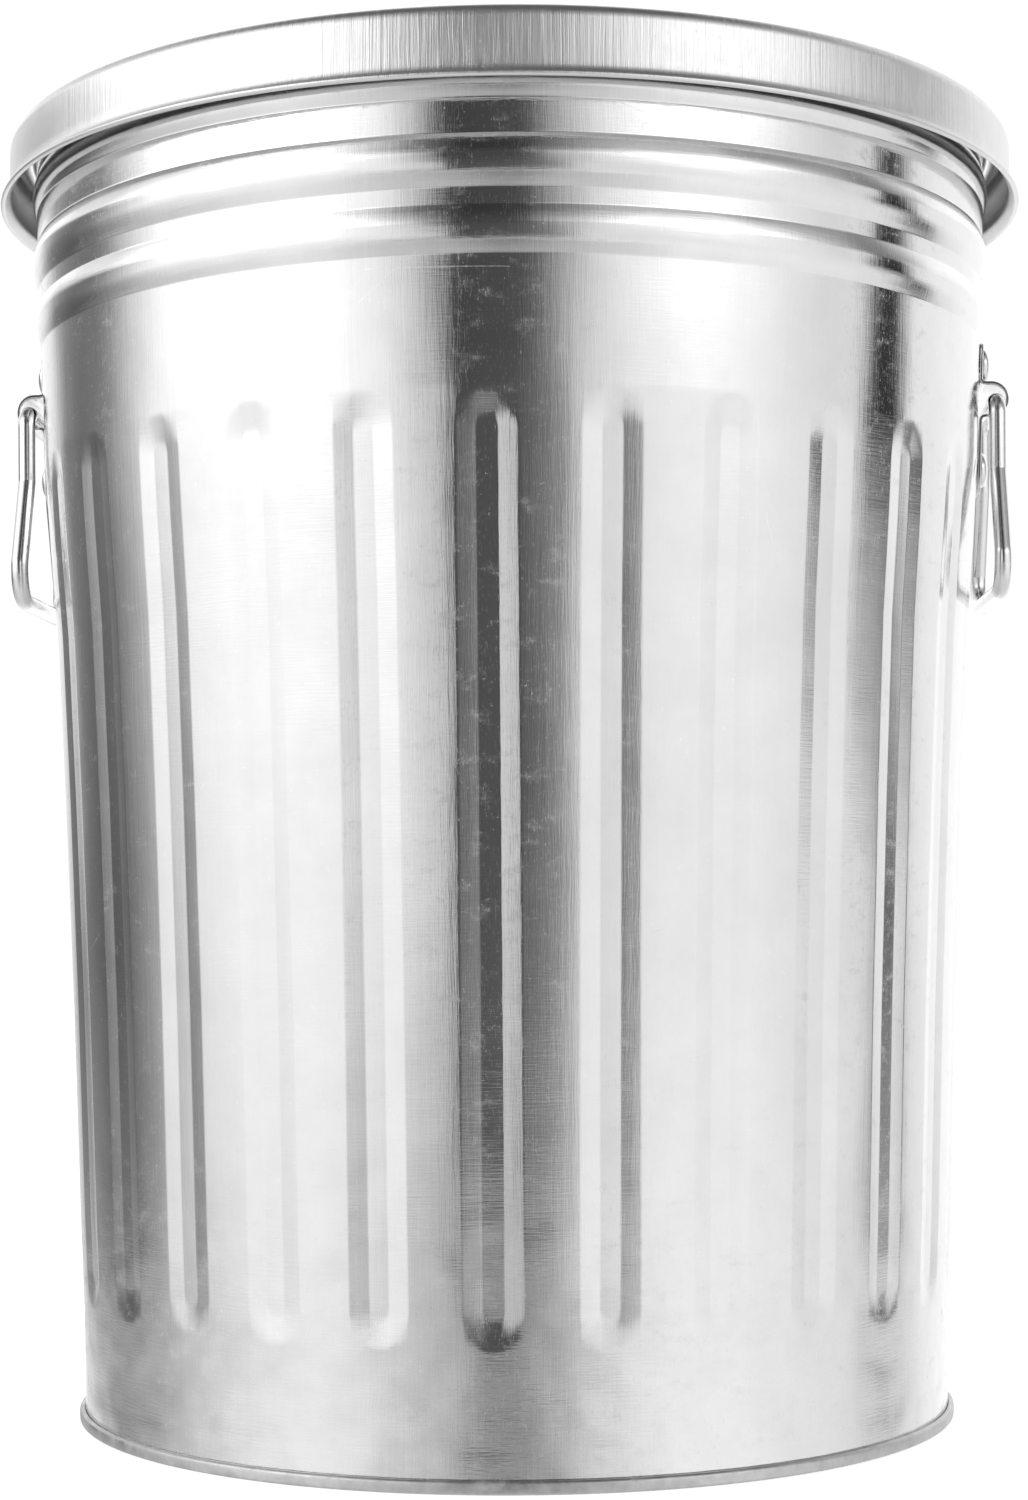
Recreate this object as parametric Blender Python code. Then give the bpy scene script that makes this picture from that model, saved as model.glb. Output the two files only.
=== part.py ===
"""Galvanised sheet-steel storage can with a lift-off lid and two drop handles.

Metres, +Z up. The origin is the middle of the footprint, on the floor. -Y is the front, and the two
handles sit on the +X (right) and -X (left) sides.
"""
import bpy
import bmesh
from math import acos, cos, pi, radians, sin, sqrt, tau
from mathutils import Matrix, Vector

MM = 0.001
GAP = 0.3 * MM  # clearance between pieces that touch

# Body wall
SHEET = 1.0 * MM
FLUTE_COUNT = 27
FLUTE_PITCH = tau / FLUTE_COUNT
FLUTE_WIDTH = 24.5 * MM
FLUTE_FLOOR = 9.7 * MM
FLUTE_DEPTH = 1.3 * MM
FLUTE_BOTTOM = 58 * MM
FLUTE_TOP = 435 * MM
FLUTE_TOP_UNDER_EAR = 412 * MM
FLUTE_END = 9 * MM
EAR_FLUTES = (7, 20)
WALL_FOOT = 1.3 * MM
WALL_PROFILE = [  # height, outer radius of the wall between flutes
    (0.0, 199.6), (13, 199.6), (17, 199.3), (50, 199.9), (99, 201.8), (190, 204.0),
    (281, 207.2), (354, 210.3), (395, 213.4), (436, 215.5), (488, 216.6), (560, 218.4), (600, 218.4),
]
BEADS = [(490 * MM, 507 * MM), (514 * MM, 534 * MM)]
BEAD_HEIGHT = 2.2 * MM

# Rolled rim, with its wire
RIM_ROLL = 3.9 * MM
RIM_CENTRE = (221.3 * MM, 574.8 * MM)
WIRE_RADIUS = 2.6 * MM

# Base
BASE_RADIUS = 202.2 * MM
SEAM_HEIGHT = 5.7 * MM
PAN_LEVEL = 10 * MM
PAN_CROWN = 3 * MM

# Lid
LID_SKIRT = 229.5 * MM
LID_TOP = 580 * MM
LID_FOOT = 550 * MM
LID_ROLL = 2.0 * MM
LID_RADIUS = 235.5 * MM
LID_CORNER = 5 * MM
LID_SHEET = 1.0 * MM
GUTTER_IN = 198 * MM
GUTTER_OUT = 212 * MM
GUTTER_DEPTH = 3 * MM
CROWN_KNEE = (150 * MM, 586.5 * MM)
PANEL_RADIUS = 82 * MM
PANEL_LEVEL = 594 * MM

# Side handles and their ears
PIVOT_RADIUS = 222.6 * MM
PIVOT_HEIGHT = 462.2 * MM
ROD_RADIUS = 3.9 * MM
LEG_TOP = 29 * MM
LEG_FOOT = 45 * MM
LEG_KNEE = 430 * MM
GRIP_HEIGHT = 374.5 * MM
EAR_BOTTOM = 421.5 * MM
EAR_TOP = 491 * MM
EAR_HALF_WIDTH = 20 * MM
EAR_SHEET = 1.4 * MM
EAR_CORNER = 7 * MM
HUMP_HEIGHT = 464 * MM
HUMP_HALF = 8.2 * MM
HUMP_REACH = 230.0 * MM
RIVET_HEIGHTS = {"lower": 434.5 * MM, "upper": 482.8 * MM}
RIVET_HEAD = 8.2 * MM
RIVET_SHANK = 3.2 * MM
RIVET_RIM = 1.2 * MM
RIVET_DOME = 3.2 * MM
WASHER_RADIUS = 7 * MM
WASHER_THICKNESS = 1.2 * MM

# Lid handle
STRAP_HALF_WIDTH = 12.5 * MM
STRAP_SHEET = 1.8 * MM
STRAP_RISE = 36 * MM
STRAP_TOP_HALF = 40 * MM
STRAP_FOOT_IN = 50 * MM
STRAP_FOOT_OUT = 72 * MM
LID_RIVET = 61 * MM
LID_RIVET_HEAD = 6.5 * MM
LID_RIVET_SHANK = 2.6 * MM
LID_RIVET_RIM = 0.8 * MM
LID_RIVET_DOME = 2.4 * MM

ROUND_STEPS = 2 * FLUTE_COUNT  # columns round every turned piece
RIVET_SIDES = 12


def clear_scene():
    for obj in list(bpy.data.objects):
        bpy.data.objects.remove(obj, do_unlink=True)


def make_material(name, colour, roughness):
    material = bpy.data.materials.new(name)
    material.use_nodes = True
    shader = material.node_tree.nodes["Principled BSDF"]
    shader.inputs["Base Color"].default_value = (*colour, 1.0)
    shader.inputs["Metallic"].default_value = 1.0
    shader.inputs["Roughness"].default_value = roughness
    return material


def make_object(name, bm, material):
    bmesh.ops.remove_doubles(bm, verts=bm.verts, dist=1e-6)
    bmesh.ops.recalc_face_normals(bm, faces=bm.faces)
    mesh = bpy.data.meshes.new(name)
    bm.to_mesh(mesh)
    bm.free()
    mesh.shade_smooth()
    mesh.set_sharp_from_angle(angle=radians(35))
    mesh.materials.append(material)
    obj = bpy.data.objects.new(name, mesh)
    bpy.context.collection.objects.link(obj)
    return obj


def stitch(bm, ring_a, ring_b):
    """Join two closed rings of (angle, vertex), which may have different counts."""
    count_a, count_b = len(ring_a), len(ring_b)
    if count_a == count_b:
        for i in range(count_a):
            j = (i + 1) % count_a
            bm.faces.new((ring_a[i][1], ring_a[j][1], ring_b[j][1], ring_b[i][1]))
        return
    a = b = 0
    while a < count_a or b < count_b:
        next_a = ring_a[(a + 1) % count_a][0] + tau * ((a + 1) // count_a)
        next_b = ring_b[(b + 1) % count_b][0] + tau * ((b + 1) // count_b)
        corner_a, corner_b = ring_a[a % count_a][1], ring_b[b % count_b][1]
        if b >= count_b or (a < count_a and next_a <= next_b):
            bm.faces.new((corner_a, ring_a[(a + 1) % count_a][1], corner_b))
            a += 1
        else:
            bm.faces.new((corner_a, ring_b[(b + 1) % count_b][1], corner_b))
            b += 1


def turned_ring(bm, radius, height, angles=None):
    """A ring of vertices; radius may be a number or a function of the angle. Angle 0 is the front."""
    ring = []
    for angle in angles or [tau * i / ROUND_STEPS for i in range(ROUND_STEPS)]:
        r = radius(angle) if callable(radius) else radius
        ring.append((angle, bm.verts.new((r * sin(angle), -r * cos(angle), height))))
    return ring


def turned_tube(name, loop, material):
    """A closed cross-section of (radius, height) points, turned about Z."""
    bm = bmesh.new()
    rings = [turned_ring(bm, r, z) for r, z in loop]
    for ring, following in zip(rings, rings[1:] + rings[:1]):
        stitch(bm, ring, following)
    return make_object(name, bm, material)


def turned_disc(name, outline, material):
    """An outline of (radius, height) points that starts and ends on the axis, turned about Z."""
    bm = bmesh.new()
    rings = [turned_ring(bm, r, z) for r, z in outline[1:-1]]
    for ring, following in zip(rings, rings[1:]):
        stitch(bm, ring, following)
    ends = ((rings[0], outline[1][1], outline[0][1]), (rings[-1], outline[-2][1], outline[-1][1]))
    for ring, level, height in ends:
        if level == height:
            bm.faces.new([vert for _, vert in ring])
            continue
        hub = bm.verts.new((0, 0, height))
        for i, (_, vert) in enumerate(ring):
            bm.faces.new((vert, ring[(i + 1) % len(ring)][1], hub))
    return make_object(name, bm, material)


def arc(centre, radius, start, end, steps):
    """Points on an arc in the (radius, height) plane; angles in degrees."""
    turns = [radians(start + (end - start) * i / steps) for i in range(steps + 1)]
    return [(centre[0] + radius * cos(t), centre[1] + radius * sin(t)) for t in turns]


def cut(obj, cutter):
    cutter.hide_render = True
    cutter.display_type = "WIRE"
    boolean = obj.modifiers.new("cut_" + cutter.name, "BOOLEAN")
    boolean.operation = "DIFFERENCE"
    boolean.object = cutter


def wall_radius(height):
    """Outer radius of the wall, between flutes and beads."""
    level = height / MM
    for (z0, r0), (z1, r1) in zip(WALL_PROFILE, WALL_PROFILE[1:]):
        if level <= z1:
            return (r0 + (r1 - r0) * (level - z0) / (z1 - z0)) * MM
    return WALL_PROFILE[-1][1] * MM


def bead_offset(height):
    for low, high in BEADS:
        if low < height < high:
            return BEAD_HEIGHT * sin(pi * (height - low) / (high - low)) ** 0.7
    return 0.0


def flute_angles():
    """Four columns a flute: its two edges and the two sides of its floor."""
    radius = wall_radius(250 * MM)
    edge, floor = FLUTE_WIDTH / 2 / radius, FLUTE_FLOOR / 2 / radius
    columns = [k * FLUTE_PITCH + step for k in range(FLUTE_COUNT) for step in (-edge, -floor, floor, edge)]
    return columns, floor


def build_body_shell(material):
    bm = bmesh.new()
    columns, floor = flute_angles()

    def plain(height, inset):
        return turned_ring(bm, wall_radius(height) + bead_offset(height) - inset, height)

    def fluted(height, inset):
        ring = []
        for angle in columns:
            k = round(angle / FLUTE_PITCH) % FLUTE_COUNT
            top = FLUTE_TOP_UNDER_EAR if k in EAR_FLUTES else FLUTE_TOP
            off_centre = abs(angle - round(angle / FLUTE_PITCH) * FLUTE_PITCH)
            from_end = min(height - FLUTE_BOTTOM, top - height)
            fade = min(1.0, max(0.0, from_end / FLUTE_END))
            depth = FLUTE_DEPTH * fade if off_centre < floor * 1.01 else 0.0
            radius = wall_radius(height) - depth - inset
            ring.append((angle % tau, bm.verts.new((radius * sin(angle), -radius * cos(angle), height))))
        return sorted(ring, key=lambda item: item[0])

    low_plain = [WALL_FOOT, 13 * MM, 17 * MM, 48 * MM]
    fluted_rows = [FLUTE_BOTTOM, FLUTE_BOTTOM + FLUTE_END, 190 * MM, 354 * MM,
                   FLUTE_TOP_UNDER_EAR - FLUTE_END, FLUTE_TOP_UNDER_EAR, FLUTE_TOP - FLUTE_END, FLUTE_TOP]
    high_plain = [446 * MM]
    for low, high in BEADS:
        span = high - low
        high_plain += [low, low + 0.2 * span, low + 0.5 * span, low + 0.8 * span, high]
    rows = [(plain, z) for z in low_plain] + [(fluted, z) for z in fluted_rows]
    rows += [(plain, z) for z in high_plain]
    outside = [make(z, 0.0) for make, z in rows]
    inside = [make(z, SHEET) for make, z in rows]
    roll = arc(RIM_CENTRE, RIM_ROLL, 180, -140, 7)
    hollow = arc(RIM_CENTRE, RIM_ROLL - SHEET, 180, -140, 7)
    # the inside face runs up into the outside of the roll, which turns over the wire and back in
    rim = [turned_ring(bm, r, z) for r, z in roll]
    rim += [turned_ring(bm, r, z) for r, z in reversed(hollow)]
    loop = inside + rim + list(reversed(outside))
    for ring, following in zip(loop, loop[1:] + loop[:1]):
        stitch(bm, ring, following)
    return make_object("body_shell", bm, material)


def build_bottom_pan(material):
    seam_in = wall_radius(WALL_FOOT) - SHEET - 0.7 * MM
    seam_out = wall_radius(SEAM_HEIGHT) + 0.8 * MM
    inner = seam_in - SHEET
    outline = [
        (0, PAN_LEVEL + PAN_CROWN), (inner * 0.5, PAN_LEVEL + PAN_CROWN * 0.75),
        (inner - 8 * MM, PAN_LEVEL), (seam_in - 1 * MM, PAN_LEVEL), (seam_in, PAN_LEVEL - 1 * MM),
        (seam_in, SHEET), (seam_out, SHEET), (seam_out, SEAM_HEIGHT),
        (BASE_RADIUS - 1 * MM, SEAM_HEIGHT), (BASE_RADIUS, SEAM_HEIGHT - 1 * MM),
        (BASE_RADIUS, 0.6 * MM), (BASE_RADIUS - 0.6 * MM, 0), (inner, 0),
        (inner, PAN_LEVEL - SHEET), (inner * 0.5, PAN_LEVEL + PAN_CROWN * 0.75 - SHEET),
        (0, PAN_LEVEL + PAN_CROWN - SHEET),
    ]
    return turned_disc("bottom_pan", outline, material)


def build_rim_wire(material):
    loop = arc(RIM_CENTRE, WIRE_RADIUS, 30, -270, 5)
    return turned_tube("rim_wire", loop, material)


def build_lid_shell(material):
    roll_centre = (LID_RADIUS - LID_ROLL, LID_FOOT + LID_ROLL)
    inner = LID_SKIRT - LID_SHEET
    corner = (LID_SKIRT - LID_CORNER, LID_TOP - LID_CORNER)
    crown = [
        (0, PANEL_LEVEL), (PANEL_RADIUS, PANEL_LEVEL), (PANEL_RADIUS + 5 * MM, PANEL_LEVEL - 2 * MM),
        CROWN_KNEE, (GUTTER_IN, LID_TOP - GUTTER_DEPTH), (GUTTER_IN + 6 * MM, LID_TOP - GUTTER_DEPTH),
        (GUTTER_OUT, LID_TOP),
    ]
    outline = crown + arc(corner, LID_CORNER, 90, 0, 3)
    outline += [(LID_SKIRT, LID_FOOT + 8 * MM), (LID_SKIRT + 1 * MM, LID_FOOT + 4.5 * MM)]
    outline += arc(roll_centre, LID_ROLL, 120, -150, 6)
    outline += [(inner + 0.6 * MM, LID_FOOT + 4.5 * MM), (inner, LID_FOOT + 8 * MM)]
    outline += arc(corner, LID_CORNER - LID_SHEET, 0, 90, 3)
    outline += [(radius, height - LID_SHEET) for radius, height in reversed(crown)]
    return turned_disc("lid_shell", outline, material)


def fillet(points, radii, steps=3):
    """Round the corners of an open or closed polyline of Vectors; radius 0 keeps a corner."""
    out = []
    for i, (point, radius) in enumerate(zip(points, radii)):
        before, after = points[i - 1], points[(i + 1) % len(points)]
        if radius == 0:
            out.append(point)
            continue
        to_before, to_after = (before - point).normalized(), (after - point).normalized()
        half = acos(max(-1.0, min(1.0, to_before.dot(to_after)))) / 2
        reach = radius / (sin(half) / cos(half))
        centre = point + (to_before + to_after).normalized() * (radius / sin(half))
        start, end = point + to_before * reach - centre, point + to_after * reach - centre
        sweep = start.angle(end)
        for k in range(steps + 1):
            t = k / steps
            out.append(centre + (start * sin((1 - t) * sweep) + end * sin(t * sweep)) / sin(sweep))
    return out


def closed_rod(name, path, radius, sides, material):
    """A round rod along a closed path in the plane x = constant."""
    bm = bmesh.new()
    rings = []
    for i, point in enumerate(path):
        along = (path[(i + 1) % len(path)] - path[i - 1]).normalized()
        across = along.cross(Vector((1, 0, 0))).normalized()
        ring = []
        for k in range(sides):
            turn = tau * k / sides
            offset = Vector((1, 0, 0)) * cos(turn) + across * sin(turn)
            ring.append((turn, bm.verts.new(point + offset * radius)))
        rings.append(ring)
    for ring, following in zip(rings, rings[1:] + rings[:1]):
        stitch(bm, ring, following)
    return make_object(name, bm, material)


def handle_path():
    """Centre line of a side handle, relative to its pivot, in the YZ plane."""
    top = Vector((0, LEG_TOP, 0))
    knee = Vector((0, LEG_TOP, LEG_KNEE - PIVOT_HEIGHT))
    shoulder = Vector((0, LEG_FOOT, GRIP_HEIGHT + 16 * MM - PIVOT_HEIGHT))
    grip = Vector((0, LEG_FOOT, GRIP_HEIGHT - PIVOT_HEIGHT))
    right = [top, knee, shoulder, grip]
    left = [Vector((0, -v.y, v.z)) for v in reversed(right)]
    radii = [7 * MM, 25 * MM, 12 * MM, 13 * MM]
    return fillet(right + left, radii + radii[::-1], steps=4)


def build_handle(side, sign, material):
    handle = closed_rod(side + "_handle", handle_path(), ROD_RADIUS, 10, material)
    handle.location = (sign * PIVOT_RADIUS, 0, PIVOT_HEIGHT)
    return handle


def ear_back(height):
    """Distance from the axis to the back face of the ear's flat parts."""
    low, high = wall_radius(EAR_BOTTOM) + 2 * GAP, wall_radius(EAR_TOP) + 2 * GAP
    return low + (high - low) * (height - EAR_BOTTOM) / (EAR_TOP - EAR_BOTTOM)


def ear_outline():
    """Middle line of the ear strap in the (outward, height) plane, bottom to top."""
    half = EAR_SHEET / 2
    hump = HUMP_HALF - half
    centre = HUMP_REACH - half - hump
    low, high = HUMP_HEIGHT - hump, HUMP_HEIGHT + hump
    flat = [EAR_BOTTOM, EAR_BOTTOM + 2 * MM, EAR_BOTTOM + EAR_CORNER, low - 2 * MM]
    points = [(ear_back(z) + half, z) for z in flat] + [(ear_back(low) + half + 1.6 * MM, low)]
    points += [(centre + hump * sin(t), HUMP_HEIGHT - hump * cos(t)) for t in (pi * k / 6 for k in range(7))]
    flat = [high + 2 * MM, EAR_TOP - EAR_CORNER, EAR_TOP - 2 * MM, EAR_TOP]
    return points + [(ear_back(high) + half + 1.6 * MM, high)] + [(ear_back(z) + half, z) for z in flat]


def ear_half_width(height):
    """Half width of the strap, which narrows round its corners."""
    end = min(height - EAR_BOTTOM, EAR_TOP - height)
    if end >= EAR_CORNER:
        return EAR_HALF_WIDTH
    return EAR_HALF_WIDTH - EAR_CORNER + sqrt(EAR_CORNER ** 2 - (EAR_CORNER - end) ** 2)


def strap_grid(name, middle, thickness, half_width, columns, place, material):
    """A bent strap: middle line points, thickness, half width at each point, and where a point goes."""
    faces = []
    for side in (1, -1):
        rows = []
        for i, point in enumerate(middle):
            before, after = middle[max(i - 1, 0)], middle[min(i + 1, len(middle) - 1)]
            dx, dz = after[0] - before[0], after[1] - before[1]
            length = sqrt(dx * dx + dz * dz)
            shift = side * thickness / 2 / length
            u, w = point[0] + shift * dz, point[1] - shift * dx
            rows.append([(u, w, half_width(point) * (2 * c / columns - 1)) for c in range(columns + 1)])
        faces.append(rows)
    bm = bmesh.new()
    sheets = [[[bm.verts.new(place(*corner)) for corner in row] for row in rows] for rows in faces]
    for sheet in sheets:
        for a, b in zip(sheet, sheet[1:]):
            for c in range(columns):
                bm.faces.new((a[c], a[c + 1], b[c + 1], b[c]))
    front, back = sheets
    for i in range(len(middle) - 1):
        for c in (0, columns):
            bm.faces.new((front[i][c], front[i + 1][c], back[i + 1][c], back[i][c]))
    for i in (0, len(middle) - 1):
        for c in range(columns):
            bm.faces.new((front[i][c], front[i][c + 1], back[i][c + 1], back[i][c]))
    return make_object(name, bm, material)


def build_ear(side, sign, material):
    def place(outward, height, across):
        turn = across / wall_radius(HUMP_HEIGHT)
        return Vector((sign * outward * cos(turn), outward * sin(turn), height))

    def half_width(point):
        return ear_half_width(point[1])

    return strap_grid(side + "_ear", ear_outline(), EAR_SHEET, half_width, 6, place, material)


def build_lid_handle(material):
    foot = PANEL_LEVEL + GAP + STRAP_SHEET / 2
    top = foot + STRAP_RISE
    bends = [(STRAP_FOOT_OUT, foot), (STRAP_FOOT_IN, foot), (STRAP_TOP_HALF, top)]
    corners = [Vector((x, 0, z)) for x, z in bends] + [Vector((-x, 0, z)) for x, z in reversed(bends)]
    middle = fillet(corners, [0, 6 * MM, 14 * MM, 14 * MM, 6 * MM, 0], steps=4)
    middle = [(v.x, v.z) for v in middle]
    return strap_grid("lid_handle", middle, STRAP_SHEET, lambda p: STRAP_HALF_WIDTH, 2,
                      lambda u, w, across: Vector((u, across, w)), material)


def spindle(name, outline, sides, matrix, material):
    """Turn an (along, radius) outline about local +X, from its inner end to its outer end."""
    bm = bmesh.new()
    rings = []
    for along, radius in outline:
        if radius == 0:
            rings.append([bm.verts.new((along, 0, 0))])
            continue
        turns = [tau * k / sides for k in range(sides)]
        rings.append([bm.verts.new((along, radius * cos(t), radius * sin(t))) for t in turns])
    for a, b in zip(rings, rings[1:]):
        for k in range(sides):
            j = (k + 1) % sides
            if len(a) == 1:
                bm.faces.new((a[0], b[k], b[j]))
            elif len(b) == 1:
                bm.faces.new((a[k], a[j], b[0]))
            else:
                bm.faces.new((a[k], a[j], b[j], b[k]))
    bm.transform(matrix)
    return make_object(name, bm, material)


def washer(name, near, far, hole, radius, sides, matrix, material):
    """A flat ring about local +X."""
    bm = bmesh.new()
    rings = []
    for along, r in ((near, hole), (near, radius), (far, radius), (far, hole)):
        turns = [tau * k / sides for k in range(sides)]
        rings.append([(t, bm.verts.new((along, r * cos(t), r * sin(t)))) for t in turns])
    for ring, following in zip(rings, rings[1:] + rings[:1]):
        stitch(bm, ring, following)
    bm.transform(matrix)
    return make_object(name, bm, material)


def rivet_outline(seat, tail, shank, head, rim, dome):
    """Shank from tail to seat, then a head with a short rim and a dome."""
    outline = [(tail, 0), (tail, shank), (seat, shank), (seat, head), (seat + rim, head)]
    outline += [(seat + rim + dome * sin(t), head * cos(t)) for t in (radians(30), radians(60))]
    return outline + [(seat + rim + dome, 0)]


def fasten(name, matrix, sheets, seat, back, sizes, material):
    """A rivet through the sheets from seat to back, with its washer behind."""
    shank, head, rim, dome, ring = sizes
    low, high, bore = back - 6 * MM, seat + 6 * MM, shank + GAP
    drill = [(low, 0), (low, bore), (high, bore), (high, 0)]
    hole = spindle("hole_" + name, drill, RIVET_SIDES, matrix, material)
    for sheet in sheets:
        cut(sheet, hole)
    tail = back - WASHER_THICKNESS - 1.2 * MM
    outline = rivet_outline(seat + GAP, tail, shank, head, rim, dome)
    spindle(name + "_rivet", outline, RIVET_SIDES, matrix, material)
    near = back - GAP
    washer(name + "_washer", near, near - WASHER_THICKNESS, bore, ring, RIVET_SIDES, matrix, material)


def build_ear_rivets(side, sign, shell, ear, material):
    turn = Matrix.Identity(4) if sign > 0 else Matrix.Rotation(pi, 4, "Z")
    sizes = (RIVET_SHANK, RIVET_HEAD, RIVET_RIM, RIVET_DOME, WASHER_RADIUS)
    for place, height in RIVET_HEIGHTS.items():
        seat = ear_back(height + RIVET_HEAD) + EAR_SHEET
        edge = sqrt(wall_radius(height) ** 2 - WASHER_RADIUS ** 2)
        back = edge - SHEET - 0.6 * MM
        matrix = Matrix.Translation((0, 0, height)) @ turn
        fasten(side + "_" + place, matrix, [shell, ear], seat, back, sizes, material)


def build_lid_rivets(shell, handle, material):
    upright = Matrix.Rotation(-pi / 2, 4, "Y")
    sizes = (LID_RIVET_SHANK, LID_RIVET_HEAD, LID_RIVET_RIM, LID_RIVET_DOME, LID_RIVET_HEAD)
    seat, back = PANEL_LEVEL + GAP + STRAP_SHEET, PANEL_LEVEL - LID_SHEET
    for place, x in (("lid_left", -LID_RIVET), ("lid_right", LID_RIVET)):
        fasten(place, Matrix.Translation((x, 0, 0)) @ upright, [shell, handle], seat, back, sizes, material)


def main():
    clear_scene()
    galvanised = make_material("galvanised_sheet", (0.62, 0.64, 0.66), 0.30)
    base_steel = make_material("galvanised_base", (0.55, 0.57, 0.59), 0.42)
    bright = make_material("bright_zinc", (0.70, 0.71, 0.73), 0.20)
    plain_wire = make_material("plain_wire", (0.45, 0.46, 0.48), 0.45)

    shell = build_body_shell(galvanised)
    build_rim_wire(plain_wire)
    build_bottom_pan(base_steel)
    lid = build_lid_shell(galvanised)
    strap = build_lid_handle(bright)
    build_lid_rivets(lid, strap, bright)
    for side, sign in (("right", 1), ("left", -1)):
        ear = build_ear(side, sign, bright)
        build_handle(side, sign, bright)
        build_ear_rivets(side, sign, shell, ear, bright)


main()
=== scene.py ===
from math import acos, cos, pi, radians, sin, sqrt, tan, tau

import bpy
from mathutils import Matrix, Vector


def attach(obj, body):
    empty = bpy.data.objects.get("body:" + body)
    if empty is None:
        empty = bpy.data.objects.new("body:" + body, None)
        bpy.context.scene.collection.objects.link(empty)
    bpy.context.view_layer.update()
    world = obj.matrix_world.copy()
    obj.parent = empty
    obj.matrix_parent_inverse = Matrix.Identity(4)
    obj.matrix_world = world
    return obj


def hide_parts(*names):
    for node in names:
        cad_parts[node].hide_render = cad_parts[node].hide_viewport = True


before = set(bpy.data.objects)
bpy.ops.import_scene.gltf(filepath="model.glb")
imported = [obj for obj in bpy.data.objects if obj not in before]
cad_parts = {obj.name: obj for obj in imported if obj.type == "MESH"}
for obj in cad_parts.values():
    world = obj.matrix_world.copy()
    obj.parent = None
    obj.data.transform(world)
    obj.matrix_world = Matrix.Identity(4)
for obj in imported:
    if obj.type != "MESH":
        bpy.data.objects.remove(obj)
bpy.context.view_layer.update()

mm = 0.001


class Wire:
    # one output socket, so that node maths reads as a plain expression
    def __init__(self, graph, socket):
        self.graph = graph
        self.socket = socket

    def other(self, name):
        return Wire(self.graph, self.socket.node.outputs[name])

    def __add__(self, other):
        return self.graph.math("ADD", self, other)

    __radd__ = __add__

    def __sub__(self, other):
        return self.graph.math("SUBTRACT", self, other)

    def __rsub__(self, other):
        return self.graph.math("SUBTRACT", other, self)

    def __mul__(self, other):
        return self.graph.math("MULTIPLY", self, other)

    __rmul__ = __mul__

    def __truediv__(self, other):
        return self.graph.math("DIVIDE", self, other)

    def __rtruediv__(self, other):
        return self.graph.math("DIVIDE", other, self)

    def __neg__(self):
        return self.graph.math("MULTIPLY", self, -1.0)

    def __abs__(self):
        return self.graph.math("ABSOLUTE", self)

    def __lt__(self, other):
        return self.graph.math("LESS_THAN", self, other)

    def __gt__(self, other):
        return self.graph.math("GREATER_THAN", self, other)


class Graph:
    # a shader, world or geometry tree under construction
    def __init__(self, tree):
        self.tree = tree

    def add(self, kind, settings=None, inputs=None, out=0):
        node = self.tree.nodes.new(kind)
        for name, value in (settings or {}).items():
            if name == "stops":
                self.setStops(node, value)
            elif name == "points":
                self.setPoints(node, value)
            else:
                setattr(node, name, value)
        for name, value in (inputs or {}).items():
            if isinstance(value, Wire):
                self.tree.links.new(value.socket, node.inputs[name])
            else:
                node.inputs[name].default_value = value
        return Wire(self, node.outputs[out]) if len(node.outputs) else node

    def setStops(self, node, stops):
        ramp = node.color_ramp
        for place, shade in stops[2:]:
            ramp.elements.new(0.5)
        for element, (place, shade) in zip(ramp.elements, sorted(stops)):
            element.position = place
            element.color = (shade, shade, shade, 1)

    def setPoints(self, node, points):
        curve = node.mapping.curves[0]
        for place, height in points[2:]:
            curve.points.new(place, height)
        for point, (place, height) in zip(curve.points, sorted(points)):
            point.location = (place, height)
            point.handle_type = "VECTOR"
        node.mapping.update()

    def math(self, operation, *values):
        return self.add("ShaderNodeMath", {"operation": operation}, dict(enumerate(values)))

    def clamp(self, value):
        return self.add("ShaderNodeClamp", None, {0: value})

    def smooth(self, value, low, high):
        # 0 below low, 1 above high, an S curve between
        return self.add("ShaderNodeMapRange", {"interpolation_type": "SMOOTHSTEP"},
                        {0: value, 1: low, 2: high, 3: 0.0, 4: 1.0})

    def vector(self, x, y, z):
        return self.add("ShaderNodeCombineXYZ", None, {0: x, 1: y, 2: z})

    def split(self, vector):
        node = self.add("ShaderNodeSeparateXYZ", None, {0: vector})
        return node, node.other("Y"), node.other("Z")

    def mix(self, factor, a, b):
        return self.add("ShaderNodeMix", {"data_type": "FLOAT"}, {0: factor, 2: a, 3: b})

    def blend(self, factor, a, b):
        # colours, A and B are sockets 6 and 7 of a colour Mix
        return self.add("ShaderNodeMix", {"data_type": "RGBA"}, {0: factor, 6: a, 7: b}, out=2)

    def noise(self, vector, scale, detail=2.0, roughness=0.5):
        return self.add("ShaderNodeTexNoise", {"noise_dimensions": "3D"},
                        {"Vector": vector, "Scale": scale, "Detail": detail, "Roughness": roughness})


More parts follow.
